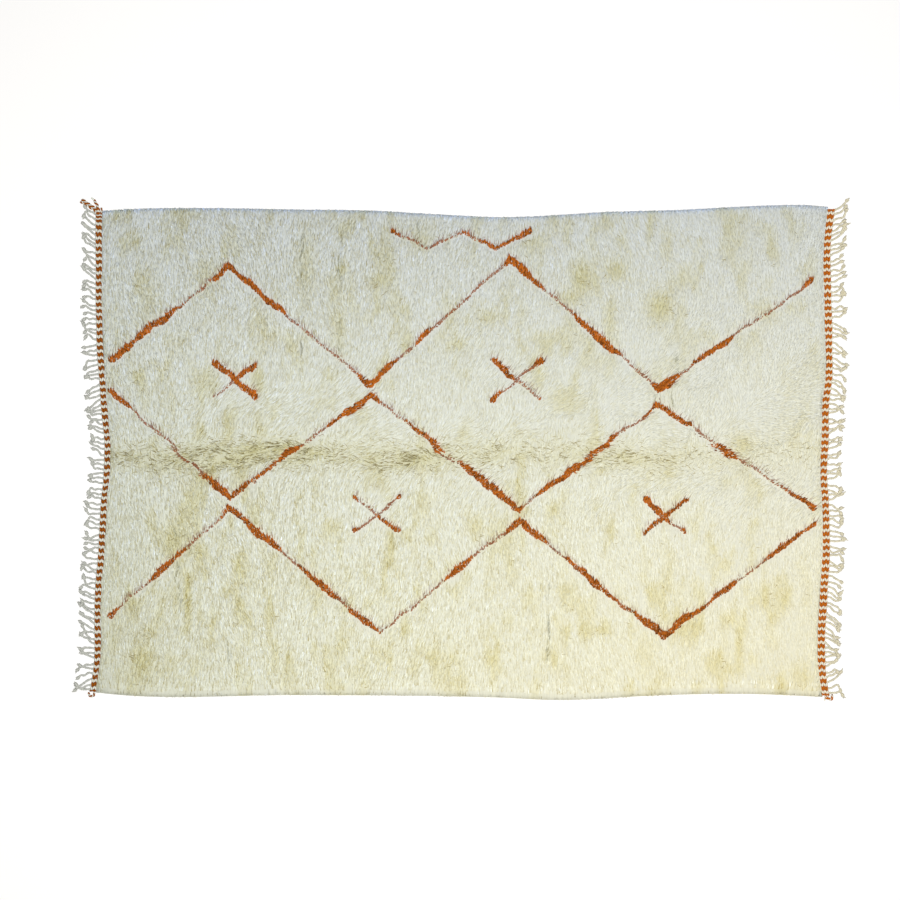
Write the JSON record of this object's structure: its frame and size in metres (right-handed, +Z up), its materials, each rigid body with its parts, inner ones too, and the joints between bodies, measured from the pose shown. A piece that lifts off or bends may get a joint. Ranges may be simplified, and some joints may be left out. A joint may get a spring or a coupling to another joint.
{
  "type": "shaggy wool rug",
  "caption": "Thick knotted wool pile rug lying flat, with rust line ornament, a two-colour twined band along each short end and a knotted warp fringe beyond it.",
  "frame": {"origin": "middle of the rug's overall box, on the floor that it lies on", "axes": "+X along the rug from the left fringe to the right fringe, +Y across it towards the far long edge, +Z up out of the pile"},
  "size_m": [3.2008, 2.0664, 0.0245],
  "materials": {
    "pile_wool": "soft ivory wool pile with rust line ornament",
    "band_wool": "twined wool yarn, rust and cream by turns",
    "warp_cord": "two-ply undyed wool cord"
  },
  "bodies": {
    "root": {"pile": "pile_wool", "twined_band_left": "band_wool", "twined_band_right": "band_wool", "fringe_left": "warp_cord", "fringe_right": "warp_cord"}
  },
  "joints": []
}
